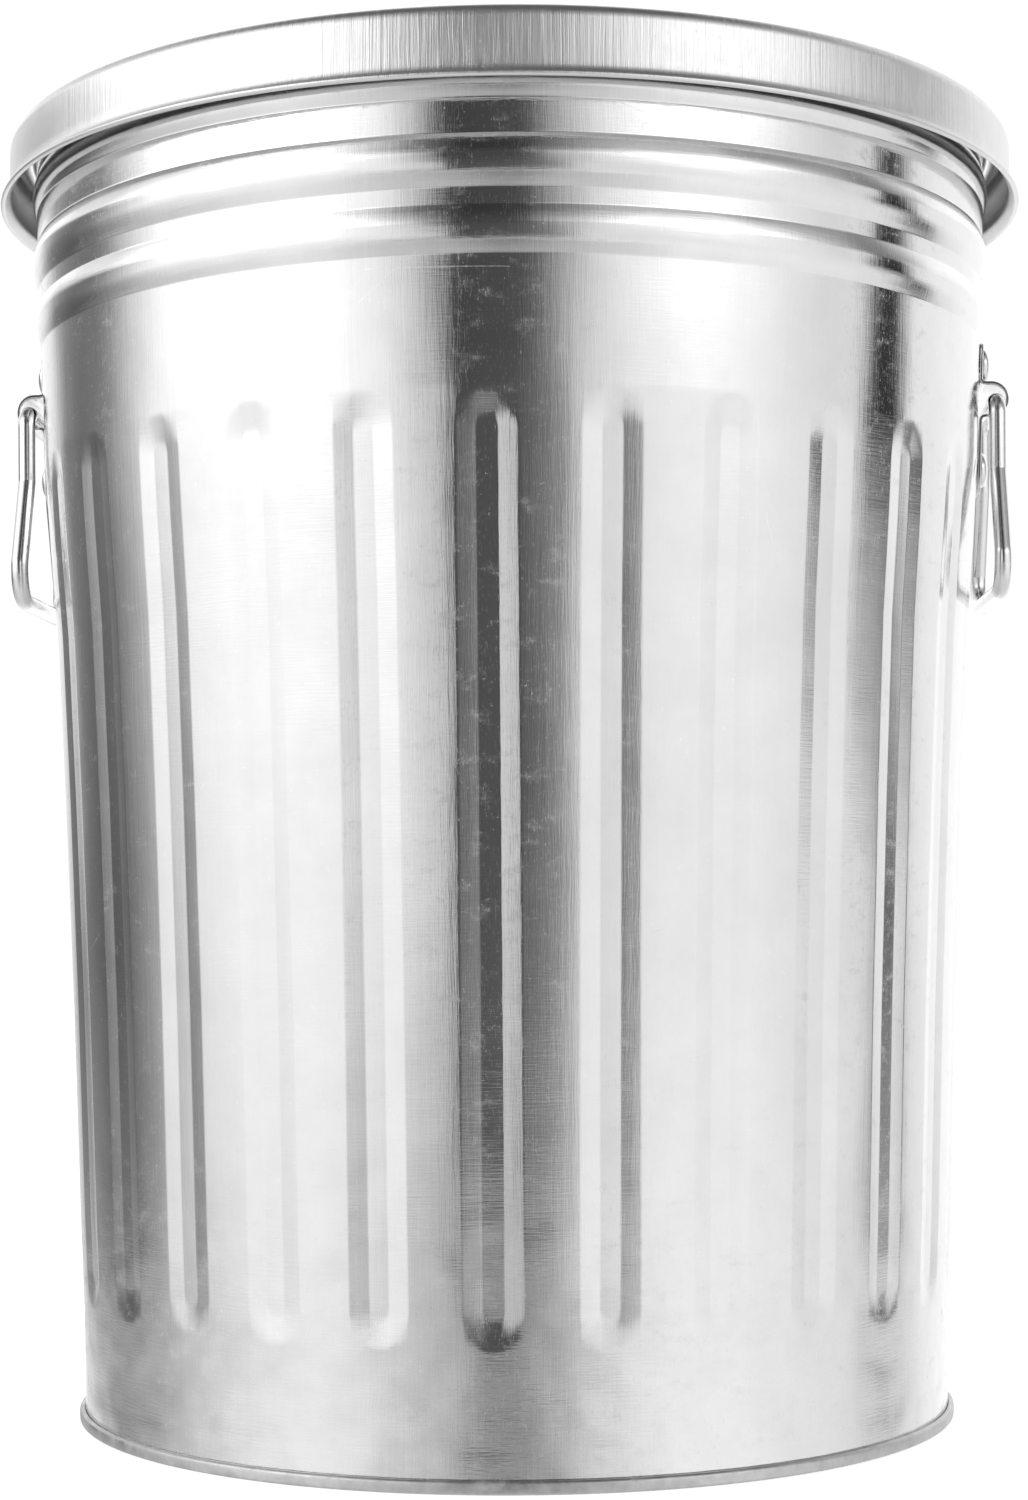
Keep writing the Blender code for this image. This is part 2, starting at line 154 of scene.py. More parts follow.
sheetFinish = {
    "axisRadius": 0.21,       # arc length is angle times this
    "shade": 0.80,            # zinc, along the middle of its range
    "mottle": 0.06,           # how far patches differ in shade
    "mottleSize": 0.022,
    "gloss": 0.055,           # roughness of the smoothest zinc
    "glossSpread": 0.05,
    "smear": 0.20,            # how much rougher the rubbed patches are
    "dash": 0.13,             # short dull dashes along the rolling marks
    "streakPitch": 0.0006,    # rolling marks that run up the wall
    "streakTilt": 0.034,
    "streakLength": 0.017,
    "crossPitch": 0.0009,     # finer marks round the wall
    "crossTilt": 0.016,
    "waveSize": 0.030,        # hand-sized unevenness of thin sheet
    "waveTilt": 0.007,
    "footLevel": 0.16,        # below this the wall is more uneven and more mottled
    "footWave": 3.0,
    "footMottle": 2.0,
    "footSmear": 0.12,
    "scratches": [            # angle from the front and height of both ends, width
        (-13.0, 0.4826, 2.5, 0.4818, 0.00028),
        (-7.0, 0.4890, -13.5, 0.4700, 0.00022),
        (14.0, 0.5460, 20.0, 0.5385, 0.00020),
        (31.0, 0.3900, 32.5, 0.3750, 0.00022),
        (-62.0, 0.2150, -58.0, 0.2230, 0.00025),
        (152.0, 0.4650, 163.0, 0.4690, 0.00030),
        (201.0, 0.2600, 209.0, 0.2480, 0.00026),
    ],
}


def newMaterial(name):
    material = bpy.data.materials.new(name)
    material.use_nodes = True
    graph = Graph(material.node_tree)
    shader = material.node_tree.nodes["Principled BSDF"]
    shader.inputs["Metallic"].default_value = 1.0
    return material, graph, shader


def finishWith(graph, shader, colour=None, roughness=None, normal=None):
    for name, wire in (("Base Color", colour), ("Roughness", roughness), ("Normal", normal)):
        if wire is not None:
            graph.tree.links.new(wire.socket, shader.inputs[name])


def bump(graph, height, distance, normal=None):
    inputs = {"Height": height, "Distance": distance, "Strength": 1.0}
    if normal is not None:
        inputs["Normal"] = normal
    return graph.add("ShaderNodeBump", None, inputs)


def wallPlace(graph, radius):
    # arc length round the axis, height, and the angle from the front
    place = graph.add("ShaderNodeTexCoord", None, None, "Object")
    x, y, z = graph.split(place)
    angle = graph.math("ARCTAN2", x, -y)
    return place, angle * radius, z, angle


def scratchMask(graph, angle, height, radius, scratches):
    mask = None
    for startAngle, startHeight, endAngle, endHeight, width in scratches:
        ax, az = radians(startAngle if startAngle < 180 else startAngle - 360) * radius, startHeight
        bx, bz = radians(endAngle if endAngle < 180 else endAngle - 360) * radius, endHeight
        length = sqrt((bx - ax) ** 2 + (bz - az) ** 2)
        ux, uz = (bx - ax) / length, (bz - az) / length
        along = (angle * radius - ax) * ux + (height - az) * uz
        across = abs((angle * radius - ax) * uz - (height - az) * ux)
        inside = graph.math("MULTIPLY", along > 0.0, along < length)
        line = (1.0 - graph.smooth(across, width * 0.4, width)) * inside
        mask = line if mask is None else graph.math("MAXIMUM", mask, line)
    return mask


def makeSheet(name, finish, scratched=False):
    material, graph, shader = newMaterial(name)
    radius, pitch, crossPitch = finish["axisRadius"], finish["streakPitch"], finish["crossPitch"]
    place, arc, height, angle = wallPlace(graph, radius)
    low = 1.0 - graph.smooth(height, finish["footLevel"] * 0.35, finish["footLevel"])

    # shade: patches of crystals, broad clouds and tiny bright specks
    patches = graph.noise(place, 1 / finish["mottleSize"], 4.0, 0.6)
    clouds = graph.noise(place, 0.35 / finish["mottleSize"], 2.0)
    blotches = graph.noise(graph.vector(arc * 70.0, height * 95.0, 6.0), 1.0, 3.0, 0.55)
    speck = graph.smooth(graph.noise(place, 700.0, 1.0), 0.70, 0.78)
    uneven = (patches - 0.5) * 2.0 + (clouds - 0.5) + (blotches - 0.5) * low * finish["footMottle"]
    tone = finish["shade"] + uneven * finish["mottle"] + speck * 0.06

    # relief: slow waves, rolling marks up the wall that wander a little, and finer marks round it
    wave = graph.noise(place, 1 / finish["waveSize"], 1.0)
    wander = graph.noise(graph.vector(arc * 90.0, height * 60.0, 1.0), 1.0, 1.0) * 0.0012
    wandered = arc + wander
    streakPlace = graph.vector(wandered / pitch, height / finish["streakLength"], 0.0)
    streak = graph.noise(streakPlace, 1.0, 2.0, 0.65)
    longStreak = graph.noise(graph.vector(wandered / (pitch * 4.0), height * 14.0, 3.7), 1.0, 1.0)
    cross = graph.noise(graph.vector(arc * 75.0, height / crossPitch, 8.1), 1.0, 2.0, 0.6)
    crossing = graph.smooth(graph.noise(place, 16.0, 3.0), 0.42, 0.62)
    normal = bump(graph, wave * (1.0 + low * finish["footWave"]), finish["waveTilt"] * finish["waveSize"])
    normal = bump(graph, streak, finish["streakTilt"] * pitch, normal)
    normal = bump(graph, longStreak, finish["streakTilt"] * pitch, normal)
    crossed = cross * (0.3 + 0.7 * crossing + low * 0.5)
    normal = bump(graph, crossed, finish["crossTilt"] * crossPitch * 2, normal)

    # gloss: patches rubbed sideways lose their mirror
    rub = graph.noise(graph.vector(arc * 90.0, height * 160.0, 2.2), 1.0, 5.0, 0.66)
    smear = graph.smooth(rub, 0.50, 0.78)
    dashes = graph.noise(graph.vector(wandered / (pitch * 0.9), height * 380.0, 4.4), 1.0, 1.0)
    dash = graph.smooth(dashes, 0.58, 0.72) * (0.35 + patches)
    gloss = finish["gloss"] + patches * finish["glossSpread"] + smear * finish["smear"] + speck * 0.15
    gloss = gloss + dash * finish["dash"] + graph.smooth(blotches, 0.42, 0.62) * low * finish["footSmear"]
    if scratched:
        scratch = scratchMask(graph, angle, height, radius, finish["scratches"])
        tone = tone + scratch * 0.08
        gloss = gloss + scratch * 0.22
    colour = graph.blend(graph.clamp(tone), (0.0, 0.0, 0.0, 1), (1.0, 1.0, 1.0, 1))
    finishWith(graph, shader, colour, graph.clamp(gloss), normal)
    return material


brightFinish = {"shade": 0.82, "gloss": 0.10, "grainSize": 0.006, "grainTilt": 0.004}


def makeBright(name, finish):
    material, graph, shader = newMaterial(name)
    place = graph.add("ShaderNodeTexCoord", None, None, "Object")
    cloud = graph.noise(place, 1 / finish["grainSize"], 3.0, 0.6)
    pits = graph.smooth(graph.noise(place, 900.0, 1.0), 0.66, 0.76)
    tone = finish["shade"] + (cloud - 0.5) * 0.14 - pits * 0.10
    gloss = finish["gloss"] + cloud * 0.10 + pits * 0.18
    normal = bump(graph, cloud, finish["grainTilt"] * finish["grainSize"])
    normal = bump(graph, pits, -0.00002, normal)
    colour = graph.blend(graph.clamp(tone), (0.0, 0.0, 0.0, 1), (1.0, 1.0, 1.0, 1))
    finishWith(graph, shader, colour, graph.clamp(gloss), normal)
    return material


baseFinish = dict(sheetFinish, shade=0.60, mottle=0.14, mottleSize=0.004, gloss=0.30, glossSpread=0.16)
lidFinish = dict(sheetFinish, axisRadius=0.23, gloss=0.29, smear=0.05, dash=0.05,
                 streakPitch=0.0005, streakTilt=0.24, streakLength=0.05, crossTilt=0.004)
wireFinish = {"shade": 0.45, "gloss": 0.34, "grainSize": 0.002, "grainTilt": 0.02}

bodySheet = makeSheet("bodySheet", sheetFinish, True)
lidSheet = makeSheet("lidSheet", lidFinish)
baseSheet = makeSheet("baseSheet", baseFinish)
brightZinc = makeBright("brightZinc", brightFinish)
plainWire = makeBright("plainWire", wireFinish)
print("finishes made")


mergeReach = 0.002 * mm
sheetEdge = 50            # degrees; a fold sharper than this shades as an edge


def geometryTree(name, sockets):
    tree = bpy.data.node_groups.new(name, "GeometryNodeTree")
    tree.interface.new_socket("Geometry", in_out="OUTPUT", socket_type="NodeSocketGeometry")
    tree.interface.new_socket("Geometry", in_out="INPUT", socket_type="NodeSocketGeometry")
    for label, kind in sockets:
        tree.interface.new_socket(label, in_out="INPUT", socket_type="NodeSocket" + kind)
    graph = Graph(tree)
    source = graph.add("NodeGroupInput")
    return tree, graph, source


def closeTree(graph, mesh, material):
    smooth = graph.add("GeometryNodeSetShadeSmooth", None, {"Geometry": mesh})
    real = graph.add("GeometryNodeRealizeInstances", None, {"Geometry": smooth})
    coated = graph.add("GeometryNodeSetMaterial", None, {"Geometry": real, "Material": material})
    graph.add("NodeGroupOutput", None, {"Geometry": coated})


def runTree(name, data, tree, values, sharpAngle=40, wall=0.0):
    # gives the object its tree, fills the inputs, and keeps only the mesh that comes out
    source = bpy.data.objects.new(name + "Source", data)
    bpy.context.collection.objects.link(source)
    modifier = source.modifiers.new("shape", "NODES")
    modifier.node_group = tree
    for item in tree.interface.items_tree:
        if item.in_out == "INPUT" and item.name in values:
            modifier[item.identifier] = values[item.name]
    if wall:
        thick = source.modifiers.new("wall", "SOLIDIFY")
        thick.thickness = wall
        thick.offset = -1.0
        thick.use_even_offset = True
    depsgraph = bpy.context.evaluated_depsgraph_get()
    mesh = bpy.data.meshes.new_from_object(source.evaluated_get(depsgraph), depsgraph=depsgraph)
    bpy.data.objects.remove(source)
    mesh.name = name
    mesh.set_sharp_from_angle(angle=radians(sharpAngle))
    piece = bpy.data.objects.new(name, mesh)
    bpy.context.collection.objects.link(piece)
    return piece


def outlineMesh(name, points):
    # a chain of (radius, height) points, kept in order
    mesh = bpy.data.meshes.new(name)
    mesh.from_pydata([(r, 0.0, z) for r, z in points], [(i, i + 1) for i in range(len(points) - 1)], [])
    return mesh


def arc(centre, radius, start, end, steps):
    turns = [radians(start + (end - start) * i / steps) for i in range(steps + 1)]
    return [(centre[0] + radius * cos(t), centre[1] + radius * sin(t)) for t in turns]


def meshPiece(name, verts, faces, material):
    mesh = bpy.data.meshes.new(name)
    mesh.from_pydata(verts, [], faces)
    mesh.materials.append(material)
    mesh.shade_smooth()
    piece = bpy.data.objects.new(name, mesh)
    bpy.context.collection.objects.link(piece)
    return piece


def thicken(piece, sheet, edgeWidth, even=False):
    # gives a strip its thickness, half to each side, and softens its cut edges
    thick = piece.modifiers.new("sheet", "SOLIDIFY")
    thick.thickness = sheet
    thick.offset = 0.0
    thick.use_even_offset = even
    edge = piece.modifiers.new("edge", "BEVEL")
    edge.width = edgeWidth
    edge.segments = 3
    edge.limit_method = "ANGLE"
    edge.angle_limit = radians(60)


def settle(piece, body, slot, *nodes):
    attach(piece, body)
    if nodes:
        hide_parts(*nodes)
    return piece


def gridRows(graph, columns, rows):
    # a sheet of vertices, with each one's column and row
    counts = {"Size X": 1.0, "Size Y": 1.0, "Vertices X": columns + 1.0, "Vertices Y": rows}
    grid = graph.add("GeometryNodeMeshGrid", None, counts)
    x, y, z = graph.split(graph.add("GeometryNodeInputPosition"))
    column = graph.math("ROUND", (x + 0.5) * columns)
    row = graph.math("ROUND", (y + 0.5) * (rows - 1.0))
    return grid, column, row


def rowPoint(graph, outline, row):
    point = graph.add("GeometryNodeSampleIndex", {"data_type": "FLOAT_VECTOR", "domain": "POINT"},
                      {"Geometry": outline, "Value": graph.add("GeometryNodeInputPosition"), "Index": row})
    radius, y, height = graph.split(point)
    return radius, height


def placeRound(graph, grid, radius, angle, height):
    # sets the sheet's vertices round Z and merges those that meet
    place = graph.vector(radius * graph.math("SINE", angle), -(radius * graph.math("COSINE", angle)), height)
    placed = graph.add("GeometryNodeSetPosition", None, {"Geometry": grid, "Position": place})
    return graph.add("GeometryNodeMergeByDistance", None, {"Geometry": placed, "Distance": mergeReach})


def turnOutline(graph, outline, columns, rows):
    grid, column, row = gridRows(graph, columns, rows)
    radius, height = rowPoint(graph, outline, row)
    return placeRound(graph, grid, radius, column / columns * tau, height)


def makeTurnTree():
    sockets = [("Columns", "Int"), ("Rows", "Int"), ("Material", "Material")]
    tree, graph, source = geometryTree("turned", sockets)
    mesh = turnOutline(graph, source.other("Geometry"), source.other("Columns"), source.other("Rows"))
    closeTree(graph, mesh, source.other("Material"))
    return tree


turnTree = makeTurnTree()


def turned(name, outline, columns, material, sharpAngle=40, wall=0.0):
    values = {"Columns": columns, "Rows": len(outline), "Material": material}
    return runTree(name, outlineMesh(name, outline), turnTree, values, sharpAngle, wall)


bodyShape = {
    "sheet": 0.8 * mm,
    "foot": 1.5 * mm,
    "join": 446 * mm,         # fluted below, banded above
    "flutes": 27,
    "fluteHalfWidth": 12.4 * mm,
    "fluteFloorHalf": 4.2 * mm,
    "fluteDepth": 1.25 * mm,
    "fluteBottom": 56.5 * mm,
    "fluteTop": 435.5 * mm,
    "fluteTopUnderEar": 412 * mm,
    "endStretch": 0.78,       # ends are longer than half round
    # places across half a flute from its middle, in millimetres: floor, bend, slope, bend and plain wall,
    # where the last stands for the middle of the plain wall
    "fluteSteps": [2.0, 3.7, 4.1, 4.5, 5.0, 8.3, 11.7, 12.2, 12.6, 13.0, 14.0, 16.2, 19.4, 23.4],
    "bandColumns": 252,
    "rollRadius": 3.9 * mm,
    "rollCentre": (221.3 * mm, 574.8 * mm),
    # height and radius of the plain wall, in millimetres
    "taper": [
        (1, 199.5), (12.5, 199.5), (17.5, 199.46), (50, 199.9), (99, 201.6), (190, 203.9), (281, 207.0),
        (354, 210.0), (395, 213.0), (436, 215.4), (487, 216.6), (505, 217.6), (535, 218.2), (560, 218.4),
    ],
    # swaged bands, in millimetres: lower edge, crest from and to, upper edge, rise
    "bands": [
        (487.2, 495.4, 498.4, 506.0, 1.6),
        (512.8, 522.4, 525.4, 533.8, 2.3),
        (547.6, 554.0, 556.0, 563.0, 1.9),
    ],
    "lowPower": 1.7,          # how full a band is below its crest, and above it
    "highPower": 1.45,
    "wireRadius": 2.6 * mm,
    "wireColumns": 160,
}


def taperRadius(level):
    # level and result in millimetres
    stops = bodyShape["taper"]
    for (z0, r0), (z1, r1) in zip(stops, stops[1:]):
        if level <= z1:
            t = (level - z0) / (z1 - z0)
            return r0 + (r1 - r0) * t
    return stops[-1][1]


def bandOffset(level):
    # each band bulges between two crisp edges, with a narrow crest nearer the top
    for low, crestLow, crestHigh, high, rise in bodyShape["bands"]:
        if crestHigh < level < high:
            return rise * (1 - ((level - crestHigh) / (high - crestHigh)) ** bodyShape["highPower"])
        if crestLow <= level <= crestHigh:
            return rise
        if low < level < crestLow:
            t = (level - low) / (crestLow - low)
            return rise * (1 - (1 - t) ** bodyShape["lowPower"])
    return 0.0


def steps(start, end, count):
    return [start + (end - start) * i / count for i in range(count)]


def flutedLevels():
    levels = [bodyShape["foot"] / mm, 7.0, 12.0, 13.4, 15.0, 16.6, 18.0, 34.0, 50.0]
    levels += steps(55.5, 73.0, 12) + [73.0, 99.0, 144.0, 190.0, 236.0, 281.0, 318.0, 354.0]
    levels += steps(395.0, 413.0, 7) + steps(417.0, 437.5, 14) + [437.5]
    return levels + [bodyShape["join"] / mm]


def bandedLevels():
    levels = [bodyShape["join"] / mm, 458.0, 472.0, 484.0]
    for low, crestLow, crestHigh, high, rise in bodyShape["bands"]:
        levels += [low - 0.5, low - 0.1, low + 0.4] + steps(low + 1.2, crestLow, 6)
        levels += [crestLow, (crestLow + crestHigh) / 2, crestHigh, crestHigh + 0.5]
        levels += steps(crestHigh + 1.8, high - 0.8, 3) + [high - 0.8, high - 0.3, high + 0.1, high + 0.6]
    return levels + [568.5]


def wallOutline(levels):
    return [((taperRadius(level) + bandOffset(level)) * mm, level * mm) for level in levels]


def makeFluteTree():
    tree, graph, source = geometryTree("flutedWall", [
        ("Rows", "Int"), ("Flutes", "Int"), ("Columns per flute", "Int"), ("Half width", "Float"),
        ("Floor half", "Float"), ("Depth", "Float"), ("Bottom", "Float"), ("Top", "Float"),
        ("Top under ear", "Float"), ("End stretch", "Float"), ("Material", "Material")])
    flutes, perFlute, rows = source.other("Flutes"), source.other("Columns per flute"), source.other("Rows")
    grid, column, row = gridRows(graph, flutes * perFlute, rows)
    radius, height = rowPoint(graph, source.other("Geometry"), row)

    # where the column lies across its flute
    flute = graph.math("FLOOR", column / perFlute)
    step = column - (flute + 0.5) * perFlute
    reach = abs(step) / (perFlute * 0.5)
    stops = bodyShape["fluteSteps"]
    points = [((i + 0.5) / (len(stops) - 0.5), offset / 25) for i, offset in enumerate(stops)]
    offset = graph.add("ShaderNodeFloatCurve", {"points": points}, {1: reach}) * 0.025
    halfPitch = pi / flutes
    swing = graph.mix(reach > 0.99, offset / radius, halfPitch)
    angle = flute * halfPitch * 2.0 + swing * graph.math("SIGN", step)

    # how far a point is from the flute's middle line, rounded at both ends
    atRight = graph.math("COMPARE", flute, flutes * 0.25, 0.5)
    atLeft = graph.math("COMPARE", flute, flutes * 0.75, 0.5)
    top = graph.mix(atRight + atLeft, source.other("Top"), source.other("Top under ear"))
    halfWidth, floorHalf = source.other("Half width"), source.other("Floor half")
    endReach = halfWidth / source.other("End stretch")
    below = source.other("Bottom") + endReach - height
    above = height - (top - endReach)
    past = graph.math("MAXIMUM", graph.math("MAXIMUM", below, above), 0.0) * source.other("End stretch")
    across = swing * radius
    away = graph.math("SQRT", across * across + past * past)
    sunk = graph.clamp((halfWidth - away) / (halfWidth - floorHalf))

    out = radius - source.other("Depth") * sunk
    closeTree(graph, placeRound(graph, grid, out, angle, height), source.other("Material"))
    return tree


def makeFlutedWall():
    outline = wallOutline(flutedLevels())
    values = {
        "Rows": len(outline),
        "Flutes": bodyShape["flutes"],
        "Columns per flute": 2 * len(bodyShape["fluteSteps"]) - 1,
        "Half width": bodyShape["fluteHalfWidth"],
        "Floor half": bodyShape["fluteFloorHalf"],
        "Depth": bodyShape["fluteDepth"],
        "Bottom": bodyShape["fluteBottom"],
        "Top": bodyShape["fluteTop"],
        "Top under ear": bodyShape["fluteTopUnderEar"],
        "End stretch": bodyShape["endStretch"],
        "Material": bodySheet,
    }
    chain = outlineMesh("flutedWall", outline)
    wall = runTree("flutedWall", chain, makeFluteTree(), values, sheetEdge, bodyShape["sheet"])
    return settle(wall, "root", "galvanised_sheet", "body_shell")


def makeBandedWall():
    # the bands, and the edge that rolls outwards over its wire
    outline = wallOutline(bandedLevels())
    outline += arc(bodyShape["rollCentre"], bodyShape["rollRadius"] - bodyShape["sheet"], 180, -145, 18)
    wall = turned("bandedWall", outline, bodyShape["bandColumns"], bodySheet, sheetEdge, bodyShape["sheet"])
    return settle(wall, "root", "galvanised_sheet", "body_shell")


for wall in (makeFlutedWall(), makeBandedWall()):
    print(wall.name, "has", len(wall.data.polygons), "faces")


seamShape = {"angle": 180, "halfWidth": 4.6 * mm, "proud": 1.0 * mm, "top": 569 * mm}


def makeSeam():
    levels = [level for level in flutedLevels() + bandedLevels()[1:] if 8 < level < seamShape["top"] / mm]
    across = [(-1, -0.6), (-1, 0.35), (-0.86, 1.0), (0.5, 1.0), (0.75, 0.85), (1, 0.3), (1, -0.6)]
    verts, faces = [], []
    for level in levels:
        radius = (taperRadius(level) + bandOffset(level)) * mm
        for side, rise in across:
            angle = radians(seamShape["angle"]) + side * seamShape["halfWidth"] / radius
            out = radius + rise * seamShape["proud"]
            verts.append((out * sin(angle), -out * cos(angle), level * mm))
    count = len(across)
    for i in range(len(levels) - 1):
        for j in range(count):
            k = (j + 1) % count
            faces.append((i * count + j, i * count + k, (i + 1) * count + k, (i + 1) * count + j))
    faces.append(tuple(range(count - 1, -1, -1)))
    faces.append(tuple(range((len(levels) - 1) * count, len(levels) * count)))
    seam = meshPiece("backSeam", verts, faces, bodySheet)
    seam.data.set_sharp_from_angle(angle=radians(sheetEdge))
    return settle(seam, "root", "galvanised_sheet")


makeSeam()


baseShape = {
    "radius": 202.2 * mm,
    "height": 5.7 * mm,
    "sheet": 0.8 * mm,
    "level": 10 * mm,
    "crown": 3 * mm,
    "gap": 0.15 * mm,         # between the pan and the wall that it laps
    "columns": 224,
}


def makeBase():
    s = baseShape
    wallIn = taperRadius(3) * mm - bodyShape["sheet"] - s["gap"]
    wallOut = taperRadius(4) * mm + s["gap"]
    inner = wallIn - s["sheet"]
    level, crown = s["level"], s["crown"]
    top = [(0.0, level + crown), (inner * 0.25, level + crown * 0.94), (inner * 0.5, level + crown * 0.75),
           (inner * 0.75, level + crown * 0.36), (inner * 0.93, level + 0.2 * mm), (inner - 6 * mm, level)]
    top += arc((wallIn - 1.5 * mm, level - 1.5 * mm), 1.5 * mm, 90, 0, 4)
    lap = [(wallIn, s["sheet"]), (wallOut, s["sheet"]), (wallOut, s["height"] - 0.5 * mm)]
    lap += arc((wallOut + 0.7 * mm, s["height"] - 0.7 * mm), 0.7 * mm, 170, 90, 3)
    lap += arc((s["radius"] - 1.6 * mm, s["height"] - 1.6 * mm), 1.6 * mm, 90, 0, 5)
    lap += arc((s["radius"] - 1.2 * mm, 1.2 * mm), 1.2 * mm, 0, -90, 5)
    under = arc((inner + 0.8 * mm, 0.8 * mm), 0.8 * mm, -90, -180, 3)
    under += arc((inner - 1.2 * mm, level - s["sheet"] - 1.2 * mm), 1.2 * mm, 0, 90, 3)
    under += [(r, z - s["sheet"]) for r, z in reversed(top[:5])]
    pan = turned("basePan", top + lap + under, s["columns"], baseSheet, sheetEdge)
    return settle(pan, "root", "galvanised_base", "bottom_pan")


def makeRimWire():
    outline = arc(bodyShape["rollCentre"], bodyShape["wireRadius"], 0, -360, 16)
    wire = turned("rimWire", outline, bodyShape["wireColumns"], plainWire)
    return settle(wire, "root", "plain_wire", "rim_wire")


makeBase()
makeRimWire()
print("base and rim wire made")


lidShape = {
    "sheet": 0.8 * mm,
    "skirt": 229.5 * mm,
    "top": 580 * mm,
    "foot": 550 * mm,
    "corner": 5 * mm,
    "roll": 2.0 * mm,
    "radius": 235.4 * mm,
    "panel": 82 * mm,
    "panelLevel": 594 * mm,
    "step": 2.3 * mm,         # from the raised panel down to the slope
    "slopeEnd": 196 * mm,
    "fall": 14 * mm,          # of the slope, from the panel out to the gutter
    "columns": 256,
}


def makeLid():
    s = lidShape
    top, foot, skirt = s["top"], s["foot"], s["skirt"]
    panel, level = s["panel"], s["panelLevel"]
    crown = [(0.0, level), (panel * 0.5, level), (panel - 2 * mm, level), (panel, level - 0.25 * mm)]
    crown += [(panel + 2.5 * mm, level - 1.2 * mm), (panel + 5 * mm, level - 2.0 * mm)]
    slopeStart = panel + 8 * mm
    crown.append((slopeStart, level - s["step"]))
    for i in range(1, 9):
        t = i / 8
        out = slopeStart + (s["slopeEnd"] - slopeStart) * t
        crown.append((out, level - s["step"] - s["fall"] * t ** 1.5))
    # the gutter, then the corner and the skirt
    crown += [(198 * mm, top - 2.9 * mm), (201 * mm, top - 3 * mm), (204 * mm, top - 2.9 * mm)]
    crown += [(206 * mm, top - 2.2 * mm), (209 * mm, top - 0.7 * mm)]
    crown += [(211 * mm, top - 0.1 * mm), (214 * mm, top)]
    crown += arc((skirt - s["corner"], top - s["corner"]), s["corner"], 90, 0, 9)
    crown += [(skirt, top - 12 * mm), (skirt, foot + 10 * mm), (skirt, foot + 6.4 * mm)]
    crown += [(skirt + 0.25 * mm, foot + 5.2 * mm), (skirt + 0.9 * mm, foot + 3.6 * mm)]
    # the sheet flares, passes under the roll and turns up and over it
    crown += arc((s["radius"] - s["roll"], foot + s["roll"]), s["roll"] - s["sheet"], 205, 520, 12)
    lid = turned("lidSheetPiece", crown, s["columns"], lidSheet, sheetEdge, s["sheet"])
    return settle(lid, "lid", "galvanised_sheet", "lid_shell")


lidPiece = makeLid()
print("lid made:", len(lidPiece.data.polygons), "faces")


handleShape = {
    "rod": 3.9 * mm,
    "pivot": (222.6 * mm, 462.2 * mm),
    "legTop": 29 * mm,
    "legFoot": 45 * mm,
    "knee": 430 * mm,
    "grip": 374.5 * mm,
}


def fillet(corners, radii, steps):
    # rounds the corners of a closed chain of vectors; a corner without a radius stays sharp
    out = []
    for i, (corner, radius) in enumerate(zip(corners, radii)):
        if not radius:
            out.append(corner)
            continue
        before, after = corners[i - 1], corners[(i + 1) % len(corners)]
        toBefore, toAfter = (before - corner).normalized(), (after - corner).normalized()
        half = acos(max(-1.0, min(1.0, toBefore.dot(toAfter)))) / 2
        middle = corner + (toBefore + toAfter).normalized() * (radius / sin(half))
        start = corner + toBefore * (radius / tan(half)) - middle
        end = corner + toAfter * (radius / tan(half)) - middle
        sweep = start.angle(end)
        for k in range(steps + 1):
            t = k / steps
            out.append(middle + (start * sin((1 - t) * sweep) + end * sin(t * sweep)) / sin(sweep))
    return out


def makeRodTree():
    sockets = [("Radius", "Float"), ("Sides", "Int"), ("Material", "Material")]
    tree, graph, source = geometryTree("rod", sockets)
    ring = graph.add("GeometryNodeCurvePrimitiveCircle", {"mode": "RADIUS"},
                     {"Resolution": source.other("Sides"), "Radius": source.other("Radius")})
    rod = graph.add("GeometryNodeCurveToMesh", None,
                    {"Curve": source.other("Geometry"), "Profile Curve": ring, "Fill Caps": False})
    closeTree(graph, rod, source.other("Material"))
    return tree


rodTree = makeRodTree()


def rodAlong(name, points, radius, material, sides=24):
    curve = bpy.data.curves.new(name, "CURVE")
    curve.dimensions = "3D"
    spline = curve.splines.new("POLY")
    spline.points.add(len(points) - 1)
    for point, place in zip(spline.points, points):
        point.co = (*place, 1.0)
    spline.use_cyclic_u = True
    return runTree(name, curve, rodTree, {"Radius": radius, "Sides": sides, "Material": material})


def makeHandle(side, sign):
    s = handleShape
    out, height = s["pivot"]
    half = [(s["legTop"], height, 7 * mm), (s["legTop"], s["knee"], 5 * mm),
            (s["legFoot"], s["grip"] + 16 * mm, 6 * mm), (s["legFoot"], s["grip"], 13 * mm)]
    corners = [Vector((sign * out, y, z)) for y, z, radius in half]
    corners += [Vector((sign * out, -y, z)) for y, z, radius in reversed(half)]
    radii = [radius for y, z, radius in half] + [radius for y, z, radius in reversed(half)]
    path = fillet(corners, radii, 8)
    rod = rodAlong(side + "Bail", path, s["rod"], brightZinc)
    return settle(rod, side + "_handle", "bright_zinc", side + "_handle")


for side, sign in (("right", 1), ("left", -1)):
    makeHandle(side, sign)
print("side handles made")


earShape = {
    "bottom": 421.5 * mm,
    "top": 491 * mm,
    "halfWidth": 20 * mm,
    "sheet": 1.4 * mm,
    "edge": 0.35 * mm,
    "columns": 14,
    "corner": 7 * mm,
    "humpHeight": 464 * mm,
    "humpHalf": 8.2 * mm,
    "humpReach": 230 * mm,
    "backLow": 215.4 * mm,
    "backHigh": 217.3 * mm,
}


def earBack(height):
    s = earShape
    return s["backLow"] + (s["backHigh"] - s["backLow"]) * (height - s["bottom"]) / (s["top"] - s["bottom"])


